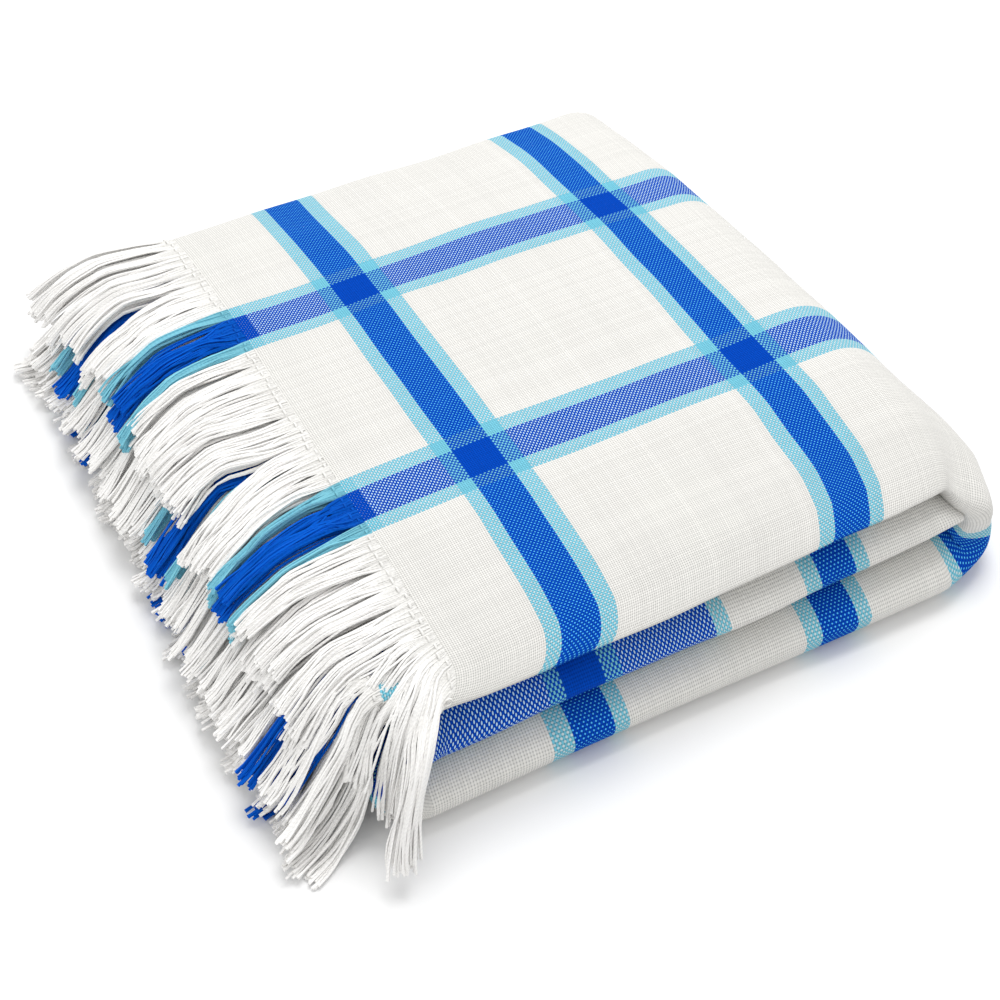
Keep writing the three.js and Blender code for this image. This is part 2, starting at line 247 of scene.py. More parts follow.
def width_places(across, roll, inner_share):
    """Where places of the section lie across the flat cloth. The roll's inner half may take up less than its length."""
    k = WIDTH_SCALE
    apex = roll[0] + PAIR_OUT

    def y_of(name, at):
        return section_point(name, at, roll)[0]

    def arc(name, at):
        t = np.linspace(0, at, 17)
        p = np.array([section_point(name, x, roll) for x in t])
        run = np.hypot(*np.diff(p, axis=0).T)
        if name == "rollOuter":
            run = np.where(t[1:] > 0.5, run * inner_share, run)
        return float(run.sum()) * k

    begin = {"layer1": REPEAT + (FIRST_STRIPE_Y - y_of("layer1", 0)) * k}
    begin["lip"] = begin["layer1"] - 13.0
    begin["rollOuter"] = REPEAT + (FIRST_STRIPE_Y - y_of("layer1", 1)) * k
    names = [row[0] for row in ACROSS]
    for before, name in zip(names[2:], names[3:]):
        curved = before in ("rollOuter", "farFold", "rollInner")
        length = arc(before, 1.0) if curved else abs(y_of(before, 1) - y_of(before, 0)) * k
        begin[name] = begin[before] + length
    places = []
    for name, at in across:
        if name == "lip":
            places.append(begin["lip"] + 13.0 * at)
        elif name in ("rollOuter", "farFold", "rollInner"):
            places.append(begin[name] + arc(name, at))
        else:
            places.append(begin[name] + abs(y_of(name, at) - y_of(name, 0)) * k)
    return np.array(places)


def end_x(name, at, side):
    """How far the fringed end of the cloth reaches at a place of the section."""
    s = END_SHIFT
    shift = {
        "lip": 0.0,
        "layer1": 0.0,
        "rollOuter": s["layer2"] * float(smooth(at, 0.1, 1)),
        "layer2": s["layer2"],
        "farFold": lerp(s["layer2"], s["layer3"], at),
        "layer3": s["layer3"],
        "rollInner": lerp(s["layer3"], s["layer4"], at),
        "layer4": s["layer4"],
    }[name]
    return HEADER_X - shift - SHEET_SHIFT[side]


def blend_rolls(a, b, t):
    return tuple(lerp(x, y, float(t)) for x, y in zip(ROLLS[a], ROLLS[b]))


def roll_at(name, at):
    """The rolled edge's shape at a place along the length."""
    if name == "top":
        return blend_rolls("top", "end", smooth(at, 0.8, 1) * 0.5)
    if name == "end":
        if at < 0.5:
            return blend_rolls("top", "end", 0.5 + smooth(at, 0, 0.3) * 0.5)
        return blend_rolls("end", "bottom", smooth(at, 0.6, 1))
    if name == "left":
        return blend_rolls("bottom", "left", at * 2) if at < 0.5 else blend_rolls("left", "middle", at * 2 - 1)
    return ROLLS[name]


def panel_end(x, h):
    """A height in the top panel or in the heap beyond it, for a place h from the panel's middle."""
    xs = [row[0] for row in HEAP][::-1]
    top = np.interp(x, xs, [row[1] for row in HEAP][::-1])
    under = np.interp(x, xs, [row[2] for row in HEAP][::-1])
    return np.where(x >= HEAP[0][0], Z_TOP + h, (top + under) / 2 + h / (2 * H_OUTER) * (top - under))


def settle(x, y, z):
    """The pack's crown and its slight unevenness."""
    crown = CROWN * (1 - np.minimum((x / 175) ** 2, 1)) * (1 - np.minimum((y / 205) ** 2, 1))
    fall = FAR_FALL * np.clip((y - 60) / (FAR_Y - 60), 0, 1.2) ** 2
    uneven = 0.01 * np.sin(x / 37 + 1.3) * np.sin(y / 53 + 0.4)
    taper = FAR_TAPER * smooth(y, -70, FAR_Y) * np.clip(x / RIGHT_X, 0, 1) ** 4
    skew = NEAR_SKEW * smooth(-y, 60, 190) * smooth(x, -120, 120) * (1 - 0.5 * smooth(z, 30, 70))
    return np.stack([x - taper, y - skew, z * (1 + crown + uneven - fall)], -1)


def pack_points(name, at, y, h, start_x):
    """Points of the pack: along the length, y across, and h from the middle of the panel there."""
    if name == "top":
        x = lerp(start_x, END_FOLD_X, at)
        z = panel_end(x, h)
    elif name == "end":
        turn = at * math.pi
        sag = float(smooth(at, 0.2, 0.6) * (1 - smooth(at, 0.75, 1)))
        x = END_FOLD_X + (PANEL_PITCH + h) * math.sin(turn) + END_BULGE * sag
        z = Z_MIDDLE + (PANEL_PITCH + h) * math.cos(turn)
        y = y + PINCH * math.sin(turn) ** 2 * np.clip((-100 - y) / 90, 0, 1)
    elif name == "bottom":
        x = np.full_like(y, lerp(END_FOLD_X, LEFT_FOLD_X, at))
        z = Z_BOTTOM - h
    elif name == "left":
        turn = at * math.pi
        radius = PANEL_PITCH / 2 + h
        x = LEFT_FOLD_X - radius * math.sin(turn)
        z = Z_BOTTOM + PANEL_PITCH / 2 - radius * math.cos(turn)
    else:
        x = np.full_like(y, lerp(LEFT_FOLD_X, TIP_X, at))
        z = Z_MIDDLE + h * (1 - TIP_TAPER * at**3)
    return settle(x, y, z)


# Soft troughs and ridges, in the x-y plane: two ends, width, height, and the lowest z they touch.
CREASES = [
    ((-60, -150), (40, -172), 16, 0.7, 60),
    ((92, 40), (120, -120), 18, 0.8, 60),
    ((-20, 60), (30, 150), 26, 0.8, 60),
    ((-110, 20), (-60, -60), 22, 0.5, 60),
    ((60, -176), (118, -150), 12, -0.9, 60),
    ((20, -100), (70, -40), 30, 0.6, 60),
    ((-140, 120), (-90, 170), 22, 0.6, 55),
]

# Pushes on the pack as it settles: the axis moved along, how far, and ramps that limit the push. Each ramp goes
# from 0 to 1 between two places on an axis.
TIP = [("x", 113, 124), ("x", 140, 127), ("y", -110, -170), ("z", 26, 31), ("z", 58, 50)]
PUSHES = [
    # The near edge draws in below the top panel.
    ("y", 4.5, [("y", -130, -185), ("z", 34, 60)]),
    ("y", 3.0, [("y", -140, -185), ("x", -20, 60), ("z", 12, 28)]),
    # The near corner of the middle panel's tip reaches out, and is rounded.
    ("x", 3.0, TIP),
    ("y", 2.5, [("x", 106, 122), ("x", 132, 122), ("y", -160, -190), ("z", 28, 34), ("z", 64, 58)]),
    # The turned end bellies out low down and draws in above.
    ("x", 8.0, [("x", 118, 142), ("y", -40, -140), ("z", 2, 16), ("z", 64, 42)]),
    ("x", -10.0, [("x", 92, 150), ("y", -120, -192), ("z", 32, 66)]),
]
# The lower panels reach further at the fringed near corner.
LATE_PUSHES = [("x", -18.0, [("x", -90, -172), ("y", -110, -190), ("z", 58, 22)])]


def ramps(points, limits):
    """The product of several ramps, at each point."""
    share = 1.0
    for axis, start, end in limits:
        share = share * smooth(points[..., "xyz".index(axis)], start, end)
    return share


def pushed(points, table):
    """How far a table of pushes moves each point."""
    move = np.zeros_like(points)
    for axis, far, limits in table:
        move[..., "xyz".index(axis)] += far * ramps(points, limits)
    return move


def undulation(points):
    """Small, slow waves through the whole pack, and the creases of its top."""
    x, y, z = np.moveaxis(points, -1, 0)
    rise = 0.55 * np.sin(x / 19 + y / 31 + 0.6) * np.sin(y / 23 - x / 61 + 2.1)
    rise += 0.35 * np.sin(x / 11.5 - y / 17 + 1.9) * np.sin(y / 13 + 0.3)
    rise = rise * smooth(z, 8, 78)
    for (x0, y0), (x1, y1), width, height, floor in CREASES:
        dx, dy = x1 - x0, y1 - y0
        t = np.clip(((x - x0) * dx + (y - y0) * dy) / (dx * dx + dy * dy), 0, 1)
        away = np.hypot(x - x0 - t * dx, y - y0 - t * dy)
        fade = np.sin(np.pi * np.clip(t, 0.12, 0.88)) * smooth(z, floor, floor + 14)
        rise += height * np.exp(-((away / width) ** 2)) * fade
    near = smooth(-y, 165, 190)
    wave = 0.9 * np.sin(x / 27 + z / 9) + 0.45 * np.sin(x / 11 + 1.0 - z / 14)
    return np.stack([np.zeros_like(x), 0.6 * near * wave * smooth(z, 4, 14), rise * (1 - 0.5 * near)], -1)


def slump(points):
    """The near edge slumps: the top panel thins towards it, and the creases between the rolls draw in."""
    x, y, z = np.moveaxis(points, -1, 0)
    before_turn = smooth(x, 138, 114)
    lift = np.interp(z, [0, 26, 54, 82], [0, 5.5, 4.0, 0]) * before_turn
    rise = smooth(-y, 90, 178) * (lift - 3.5 * np.clip((z - 54) / 28, 0, 1))
    lip = np.clip((-y - 140) / 46, 0, 1.1) ** 2 * np.clip((z - 60) / 22, 0, 1)
    rise -= 8.0 * lip * smooth(x, -170, -140)
    rise -= 0.2 * ramps(points, TIP) * (z - 41)
    draw = np.interp(z, [0, 14, 26, 40, 54, 68, 82], [0, 0, 4, 1, 6, 1.5, 0])
    return np.stack([np.zeros_like(x), smooth(-y, 150, 186) * draw * before_turn, rise], -1)


def hug(points):
    """The turned end hugs the middle panel's near corner, which is blunt."""
    x, y, z = np.moveaxis(points, -1, 0)
    in_end = smooth(x + 1.2 * np.maximum(z - 46, 0), 127.5, 131.5)
    hold = in_end * ramps(points, [("y", -150, -180), ("z", 18, 34), ("z", 76, 60)])
    waist = (2.2 + 2.0 * smooth(-y, 180, 187)) * ramps(points, [("x", 116, 134), ("x", 156, 144)])
    blunt = (1 - in_end) * smooth(-y, 150, 178)
    out = blunt * smooth(x, 110, 123) * np.interp(z, [32, 38, 46, 51, 56], [0, 2.0, 2.8, 1.8, 0])
    drop = 2.2 * blunt * smooth(x, 115, 127) * smooth(z, 43, 50)
    return np.stack([out - hold * (9.5 * smooth(x, 108, 150) + waist), -4.0 * hold * smooth(x, 124, 136), -drop], -1)


def relax(points):
    """How the pack gives as it lies. Neighbouring layers move together."""
    settled = points + undulation(points) + slump(points) + pushed(points, PUSHES)
    return settled + hug(settled) + pushed(settled, LATE_PUSHES)


# ---------------------------------------------------------------- meshes


def mesh_object(name, points, faces, materials, loops=None):
    """A new object from points in millimetres and quads. loops gives each UV map one pair for each face corner."""
    mesh = bpy.data.meshes.new(name)
    mesh.vertices.add(len(points))
    mesh.vertices.foreach_set("co", (np.asarray(points, np.float32) * MM).ravel())
    mesh.loops.add(faces.size)
    mesh.loops.foreach_set("vertex_index", faces.astype(np.int32).ravel())
    mesh.polygons.add(len(faces))
    mesh.polygons.foreach_set("loop_start", np.arange(0, faces.size, 4, dtype=np.int32))
    for map_name, pairs in (loops or {}).items():
        layer = mesh.uv_layers.new(name=map_name)
        layer.uv.foreach_set("vector", np.asarray(pairs, np.float32).ravel())
    for material in materials:
        mesh.materials.append(material)
    mesh.update(calc_edges=True)
    mesh.validate()
    thing = bpy.data.objects.new(name, mesh)
    bpy.context.scene.collection.objects.link(thing)
    return thing


def stops(rows, count=1):
    """Grid lines of a table of stretches: (name, share along it)."""
    lines = [(rows[0][0], 0.0)]
    for row in rows:
        lines += [(row[0], i / row[count]) for i in range(1, row[count] + 1)]
    return lines


def length_place(name, at):
    """Where a place of the folded pack lies along the flat cloth."""
    row = next(row for row in ALONG if row[0] == name)
    return lerp(row[3], row[4], at)


def panel_width(name, at, across):
    """Where one grid line's places lie across the flat cloth, with how far its panel was rolled round."""
    roll = roll_at(name, at)
    share = {"top": 0.07, "end": lerp(0.07, 1.0, float(smooth(at, 0.6, 1)))}.get(name, 1.0)
    width = width_places(across, roll, share)
    y = np.array([section_point(*stop, roll)[0] for stop in across])
    flat_part = np.array([stop[0] in ("lip", "layer1") for stop in across])
    near = np.where(flat_part, smooth(-y, 50, 165), 1.0)
    shift = {
        "end": BOTTOM_SHIFT * float(smooth(at, 0.3, 0.8)),
        "bottom": BOTTOM_SHIFT,
        "left": lerp(BOTTOM_SHIFT, MIDDLE_SHIFT, float(smooth(at, 0, 0.6))),
        "middle": MIDDLE_SHIFT,
    }.get(name, 0.0)
    return width + shift * near


def stripe_bend(name, u, width):
    """The cross stripes on the top lean towards the fringe as they near the rolled edge."""
    if name not in ("top", "end"):
        return np.zeros_like(width)
    size = lerp(0.33, 1.0, float(smooth(u, 67, 224))) * float(smooth(u, 12, 50) * smooth(u, 310, 250))
    return size * np.interp(width, [330, 350, 378, 400, 412, 422, 436, 470], [0, 2, 3.5, 6.5, 11, 15, 15, 0])


def cloth_grid():
    """Every grid point of both faces of the cloth, and its place on the flat cloth."""
    places = stops(ACROSS)
    start = {side: np.array([end_x(name, at, side) for name, at in places]) - 0.6 for side in "ab"}
    rows = [(name, at, length_place(name, at), "a", None) for name, at in stops(ALONG, 1)]
    tips = [i / TIP_CELLS for i in range(1, TIP_CELLS)]
    fold_u = length_place("middle", 1)
    rows += [("middle", 1.0, fold_u + 4 * math.sin(math.pi * t), "a", t) for t in tips]
    rows += [(name, at, length_place(name, at), "b", None) for name, at in stops(ALONG, 2)[::-1]]
    outside, inside, flat = [], [], []
    for name, at, u, side, tip in rows:
        for faces, reach in ((outside, PAIR_OUT), (inside, PAIR_IN)):
            if tip is not None:
                y, h = section_offsets(places, ROLLS["middle"], reach * math.cos(tip * math.pi))
                p = pack_points("middle", 1.0, y, h, 0.0)
                p[:, 0] += reach * math.sin(tip * math.pi)
            else:
                y, h = section_offsets(places, roll_at(name, at), reach if side == "a" else -reach)
                p = pack_points(name, at, y, h, start[side])
            faces.append(relax(p))
        width = panel_width(name, at, places)
        length = u + stripe_bend(name, u, width)
        even = width_places(places, roll_at(name, at), 1.0)
        flat.append(np.stack([length, width, length, even], -1))
    return np.array(outside), np.array(inside), np.array(flat)


def cloth_mesh(material):
    """The folded cloth: both faces of its grid, closed along its rim."""
    outside, inside, flat = cloth_grid()
    rows, columns = outside.shape[:2]
    points = np.concatenate([outside.reshape(-1, 3), inside.reshape(-1, 3)])
    index = np.arange(rows * columns).reshape(rows, columns)
    quads = np.stack([index[:-1, :-1], index[:-1, 1:], index[1:, 1:], index[1:, :-1]], -1).reshape(-1, 4)
    back = quads[:, ::-1] + rows * columns

    def rim(a, b):
        return np.stack([a[:-1], a[1:], b[1:], b[:-1]], -1)

    under = index + rows * columns
    rims = np.concatenate([
        rim(under[0], index[0]),
        rim(index[-1], under[-1]),
        rim(index[:, 0], under[:, 0]),
        rim(under[:, -1], index[:, -1]),
    ])
    faces = np.concatenate([quads, back, rims])
    a, b, c = (points[quads[:, i]] for i in (0, 1, 2))
    normals = np.cross(b - a, c - a)
    outward = points[quads[:, 0]] - points[back[:, -1]]
    if (normals * outward).sum() < 0:
        faces = faces[:, ::-1]
    place = np.concatenate([flat.reshape(-1, 4), flat.reshape(-1, 4)])[faces.ravel()] * MM
    cloth = mesh_object("woven_cloth", points, faces, [material], {"Cloth": place[:, :2], "Weave": place[:, 2:]})
    cloth.data.shade_smooth()
    cloth.data.set_sharp_from_angle(angle=math.radians(50))
    return cloth


# ---------------------------------------------------------------- fringe


def stripe_colour(v):
    """The yarn colour at a place across the width."""
    d = np.abs((np.asarray(v) + REPEAT / 2) % REPEAT - REPEAT / 2)
    return np.where(d < BAND, BLUE, np.where(d < BORDER, LIGHT_BLUE, WHITE))


def unit(v):
    """Vectors made one long."""
    return v / np.maximum(np.linalg.norm(v, axis=-1, keepdims=True), 1e-6)


def section_table():
    """Where each place across the flat cloth lies on the section of the top panel."""
    across = [(name, t) for name, _ in ACROSS for t in np.linspace(0, 1, 41)]
    return across, panel_width("top", 0.0, across)


def bunch_list(low, high):
    """The knotted bunches along one fringed end: (middle, width) across the cloth, each of one colour."""
    border, beside = BORDER - BAND, (BORDER + BAND) / 2
    ground = (REPEAT - 2 * BORDER) / GROUND_BUNCHES
    bunches = []
    for middle in np.arange(11) * REPEAT:
        bunches += [(middle - beside, border), (middle, 2 * BAND), (middle + beside, border)]
        bunches += [(middle + BORDER + (i + 0.5) * ground, ground) for i in range(GROUND_BUNCHES)]
    return sorted((m, w) for m, w in bunches if m - w / 2 >= low - 4 and m + w / 2 <= high + 4)


def place_on_section(v, table):
    """The stretch of the top panel's section, and how far along it, where a place across the flat cloth lies."""
    across, width = table
    i = int(np.clip(np.searchsorted(width, v), 1, len(width) - 1))
    (name, a), (last, b) = across[i - 1], across[i]
    if name != last:
        return last, b
    share = np.clip((v - width[i - 1]) / max(width[i] - width[i - 1], 1e-9), 0, 1)
    return name, float(lerp(a, b, share))


def catmull(points, lengths):
    """Points at these distances along a smooth curve through the given ones."""
    p = np.asarray(points, float)
    padded = np.concatenate([[2 * p[0] - p[1]], p, [2 * p[-1] - p[-2]]])
    t = np.linspace(0, 1, 9)[:-1][:, None]
    parts = []
    for i in range(len(p) - 1):
        a, b, c, d = padded[i : i + 4]
        bend, twist = 2 * a - 5 * b + 4 * c - d, 3 * b - a - 3 * c + d
        parts.append(0.5 * (2 * b + (c - a) * t + bend * t**2 + twist * t**3))
    curve = np.concatenate([*parts, p[-1:]])
    run = np.concatenate([[0], np.cumsum(np.linalg.norm(np.diff(curve, axis=0), axis=1))])
    return np.stack([np.interp(lengths, run, curve[:, i]) for i in range(3)], -1)


def sway(y, s):
    """How far a lock drifts aside by a share s of the fringe's length."""
    wave = 4 * np.sin(y / 15.5 + 0.7) + 3 * np.sin(y / 37) - 3
    fan = 28 * smooth(y, 110, FAR_Y) - 16 * smooth(-y, 120, -NEAR_Y)
    return s**1.4 * (wave + fan)


def parting(y, s):
    """How far a top lock moves aside where the locks part."""
    shift = 0.0
    for middle, size in PARTINGS:
        beyond = y - middle
        shift += size * (1.0 if beyond > 0 else 0.6) * np.tanh(beyond / 4) * np.exp(-abs(beyond) / 24)
    return shift * smooth(s, 0.26, 0.66)


def root_y(v, table):
    """How far across the pack a place of the flat cloth lies."""
    name, at = place_on_section(v, table)
    return section_point(name, at, ROLLS["top"])[0]


def hanging(root, s, lengths):
    """The line of a lock that hangs at the near corner."""
    dx, share = root[0] - HANG[0][0], root[2] / HANG[0][2]
    reach = 1 + 0.5 * float(smooth(-root[1], 150, 172)) if root[1] > -188 else 0.74
    line = [(x + dx, root[1] - swing * reach, max(z * share, 1.4)) for x, swing, z in HANG]
    drop = catmull(line, lengths)
    drop[:, 1] += 0.35 * sway(root[1], s)
    return drop


def lock_path(v, side, lengths, full, stagger, table, bunch_y):
    """A line of a bunch of yarns, from the cloth's edge down over the heap."""
    name, at = place_on_section(v, table)
    n = (1 if side == "a" else -1) * SHEET_PITCH / 2
    y, h = section_offset(name, at, ROLLS["top"], n)
    x0 = np.float64(end_x(name, at, side) - 0.2)
    root = settle(x0, np.float64(y), panel_end(x0, h))
    line = [root]
    for row_x, top, under in HEAP:
        x = row_x + HEAP_NEAR * float(smooth(-y, 130, 190)) * min(max((-188 - row_x) / 30, 0), 1)
        z = (top + under) / 2 + h / (2 * H_OUTER) * (top - under)
        p = settle(np.float64(x), np.float64(y), np.float64(z))
        if p[0] < root[0] - 5:
            line.append(p)
    heap = catmull(line, lengths)
    s = np.clip((root[0] - heap[:, 0]) / full, 0, 1.2)
    heap[:, 1] += sway(root[1], s)
    if name in ("lip", "layer1") or (name == "rollOuter" and at < 0.6):
        heap[:, 1] += parting(bunch_y, s)
        hang = float(smooth(-y, 138, 176))
        if hang > 0:
            heap = lerp(heap, hanging(root, s, lengths), hang)
    else:
        heap[:, 1] -= 16 * s**1.4 * float(smooth(-y, 130, 180))
    # Only the root moves with the cloth.
    heap = lerp(relax(heap), heap, smooth(lengths, 4, 30)[:, None])
    heap[:, 2] += stagger * np.sin(np.clip(lengths / full, 0, 1) * math.pi)
    heap[:, 2] = np.maximum(heap[:, 2], FLOOR_GAP)
    return heap


def lock_frame(left, mid, right, width):
    """The edges of a lock, drawn in to 0.6 of its width from its middle, and its directions across and upwards."""
    edges = []
    for edge in (left, right):
        away = edge - mid
        far = np.maximum(np.linalg.norm(away, axis=1), 1e-6)
        edges.append(mid + away * np.minimum(1, 0.6 * width / far)[:, None])
    wide = unit(edges[1] - edges[0])
    normal = unit(np.cross(unit(np.gradient(mid, axis=0)), wide))
    if normal[0, 2] < 0:
        normal[0] *= -1
    for i in range(1, len(normal)):
        if normal[i] @ normal[i - 1] < 0:
            normal[i] *= -1
    return edges, wide, normal


def tubes(paths, radii, sides, twist):
    """Yarns along paths: points and faces. paths is yarns x points x 3, and radii is yarns x points.

    They have four sides, so that their ends are quads too.
    """
    heading = unit(np.gradient(paths, axis=1))
    side = unit(np.cross(heading, np.array([0.12, 0.2, 1.0])))
    up = np.cross(side, heading)
    yarns, steps = paths.shape[:2]
    k = np.arange(sides)
    angle = (k / sides * 2 * math.pi)[None, None, :, None] + twist[:, None, None, None]
    ring = side[:, :, None] * np.cos(angle) + up[:, :, None] * np.sin(angle)
    points = paths[:, :, None] + radii[:, :, None, None] * ring
    first = (np.arange(yarns) * steps * sides)[:, None]
    base = first[..., None] + (np.arange(steps - 1) * sides)[None, :, None]
    beside = (k + 1) % sides
    quads = np.stack([base + k, base + beside, base + sides + beside, base + sides + k], -1)
    ends = [first + (steps - 1) * sides + k, first + k[::-1]]
    return points.reshape(-1, 3), np.concatenate([quads.reshape(-1, 4), *ends])


def bunch_tone(middle, bunch_y, corner, side, top):
    """The colour of a bunch. It follows the woven stripes, apart from the bunches near the near corner."""
    tone = int(stripe_colour(middle))
    if top:
        return WHITE if corner > 0.5 else tone
    if bunch_y < WHITE_BELOW_Y or (bunch_y < MOSTLY_WHITE_Y and (tone == LIGHT_BLUE or side == "b")):
        return WHITE
    return BLUE if tone == LIGHT_BLUE and BLUE_BELOW_Y[0] < bunch_y < BLUE_BELOW_Y[1] else tone


def yarn_lines(mid, width, lock, yarns, shares, length, tone, corner, top, drift, chance):
    """The middle lines of a bunch's yarns.

    They leave the cloth evenly, draw together at the knot, and then lie as a loose round lock.
    """
    (left, right), _, normal = lock
    each = (yarns, 1)
    s = shares[None, :]
    knot = np.exp(-(((s * length - KNOT_PLACE) / KNOT_REACH) ** 2))
    loose = smooth(s * length, 4, 24)
    # Across the lock, from -1 at its left edge to 1 at its right.
    wind = chance.uniform(-1, 1) * 0.8
    angle = chance.uniform(0, 2 * math.pi, each)
    depth = np.sqrt(chance.uniform(0, 1, each))
    across = ((np.arange(yarns) + 0.5) / yarns - 0.5)[:, None]
    ties = 2 * math.pi * max(int(round(width / TIE_WIDTH)), 1)
    tied = across - 0.55 * knot * np.sin(ties * (across + 0.5)) / ties
    mixed = 0.35 * (1 - 0.6 * corner) if tone == WHITE else 0.5
    place = lerp(tied, 0.5 * depth * np.cos(angle + wind * s * 2.5), mixed * loose)
    place = place + 0.07 * np.sin(s * chance.uniform(3, 8, each) + chance.uniform(0, 6.3, each)) * loose
    opened = {WHITE: 1.04 + 0.4 * corner, BLUE: 0.8, LIGHT_BLUE: 0.7}[tone]
    place = place * lerp(1.0, 0.94, knot) * lerp(1.0, opened, loose) * 2
    toward = np.abs(place)[..., None]
    line = mid[None] * (1 - toward) + np.where((place < 0)[..., None], left[None], right[None]) * toward
    # Upwards.
    thick = (1.3 if top else 1.2) * (1.25 if tone == BLUE else 1.0)
    dome = np.sqrt(np.clip(1 - (0.9 * place) ** 2, 0, 1))
    rise = depth * np.sin(angle + wind * s * 2.5) * thick * lerp(0.3, 1.0, loose) + 0.8 * dome * loose
    line = line + normal[None] * rise[..., None]
    # Each yarn waves and strays, and they end at uneven lengths.
    wave = chance.normal(0, 0.3, each) * np.sin(s * chance.uniform(8, 20, each) + chance.uniform(0, 6.3, each)) * loose
    stray = chance.normal(0, 1, each) * 1.4 * smooth(s, 0.6, 1.0)
    line[..., 1] += wave + stray + drift * s**1.6
    line[..., 2] += 0.6 * wave * np.sign(chance.normal(0, 1, each))
    line[:, -1] -= (line[:, -1] - line[:, -2]) * chance.uniform(0, 0.75, each)
    line[..., 2] = np.maximum(line[..., 2], FLOOR_GAP + 0.05)
    return line


def fringe_mesh(name, side, top, settings, materials):
    """The yarns of one fringed end, on the top panel's upper layer or on the layers below, in knotted bunches."""
    chance = np.random.default_rng((11 if side == "a" else 23) + (0 if top else 100))
    table = section_table()
    low, high = table[1][0] + 1, table[1][-1] - 1
    per_mm = {(True, "a"): 1.9, (True, "b"): 1.3}.get((top, side), 1.25)
    steps = 20 if top and side == "a" else 14
    shares = np.concatenate([[0, 0.02, 0.037, 0.065], np.linspace(0.13, 1, steps - 4)])
    full = settings.fringe_length * 1000
    parts = []  # points, faces, colour and UV pairs
    yarn_id = 0
    bunches = [b for b in bunch_list(low, high) if (b[0] < TOP_WIDTH) == top]
    for number, (middle, width) in enumerate(bunches):
        bunch_y = root_y(float(np.clip(middle, low, high)), table)
        corner = float(smooth(middle, *CORNER_LOCK)) if top else 0.0
        tone = bunch_tone(middle, bunch_y, corner, side, top)
        yarns = max(int(round(width * per_mm * (1 + 0.4 * corner))), 6)
        grown = 0.13 * float(smooth(bunch_y, 110, 175)) if top else 0.0
        length = full * (1 + grown + 0.04 * math.sin(number * 2.4) + 0.025 * chance.normal())
        if tone == LIGHT_BLUE and not top:
            length *= 0.85
        drift = chance.normal(0, 2.8 if tone == WHITE else 1.5)
        stagger = chance.normal(0, 0.8)
        run = shares * length
        left, mid, right = (
            lock_path(float(np.clip(v, low, high)), side, run, full, stagger, table, bunch_y)
            for v in (middle - width / 2, middle, middle + width / 2)
        )
        lock = lock_frame(left, mid, right, width)
        line = yarn_lines(mid, width, lock, yarns, shares, length, tone, corner, top, drift, chance)
        radius = settings.yarn_thickness * 500 * np.repeat(chance.uniform(0.9, 1.15, (yarns, 1)), steps, axis=1)
        radius[:, -1] *= chance.uniform(1.1, 1.6, yarns)
        points, faces = tubes(line, radius, YARN_SIDES, chance.uniform(0, 6.3, yarns))
        ids = np.repeat(np.arange(yarns), steps * YARN_SIDES) + yarn_id
        turn = np.tile(np.arange(YARN_SIDES) / YARN_SIDES, yarns * steps)
        pairs = np.stack([np.repeat(np.tile(run * MM, yarns), YARN_SIDES), ids + turn * 0.9], -1)
        parts.append((points, faces, tone, pairs[faces.ravel()]))
        yarn_id += yarns
        for points, faces in knot_rings(mid, lock, run, width, chance.uniform(-1, 1, 8)):
            pairs = np.stack([np.linspace(0, 0.01, faces.size), np.full(faces.size, yarn_id + 0.3)], -1)
            parts.append((points, faces, tone, pairs))
            yarn_id += 1
    starts = np.cumsum([0] + [len(part[0]) for part in parts[:-1]])
    points = np.concatenate([part[0] for part in parts])
    faces = np.concatenate([part[1] + start for part, start in zip(parts, starts)])
    pairs = np.concatenate([part[3] for part in parts])
    piece = mesh_object(name, points, faces, materials, {"Yarn": pairs})
    tones = np.concatenate([np.full(len(part[1]), part[2], np.int32) for part in parts])
    piece.data.polygons.foreach_set("material_index", tones)
    piece.data.shade_smooth()
    piece.data.set_sharp_from_angle(angle=math.radians(70))
    return piece


def knot_rings(mid, lock, lengths, width, uneven):
    """Closed rings of thread round a bunch where it is tied."""
    around, sides = 8, 3
    ties = max(int(round(width / TIE_WIDTH)), 1)
    a = np.arange(around) / around * 2 * math.pi
    b = (np.arange(sides) / sides * 2 * math.pi + 0.4)[None, :, None]
    i, k = np.meshgrid(np.arange(around), np.arange(sides), indexing="ij")
    beyond, beside = (i + 1) % around * sides, (k + 1) % sides
    quads = np.stack([i * sides + k, i * sides + beside, beyond + beside, beyond + k], -1).reshape(-1, 4)
    rings = []
    for share, jump in zip((np.arange(ties) + 0.5) / ties - 0.5, uneven):
        at = KNOT_PLACE + 0.3 + 1.7 * jump
        centre, w, n = (np.array([np.interp(at, lengths, row) for row in part.T]) for part in (mid, *lock[1:]))
        w, n = unit(w), unit(n)
        reach = width / ties * 0.4 * (0.85 + 0.25 * jump)
        spoke = np.outer(np.cos(a) * reach, w) + np.outer(np.sin(a) * (1.2 + 0.2 * jump), n)
        thread = 0.5 * np.cos(b) * unit(spoke)[:, None] + 0.8 * np.sin(b) * np.cross(w, n)
        points = (centre + w * share * width * 0.94 + spoke)[:, None] + thread
        rings.append((points.reshape(-1, 3), quads))
    return rings


# ---------------------------------------------------------------- materials


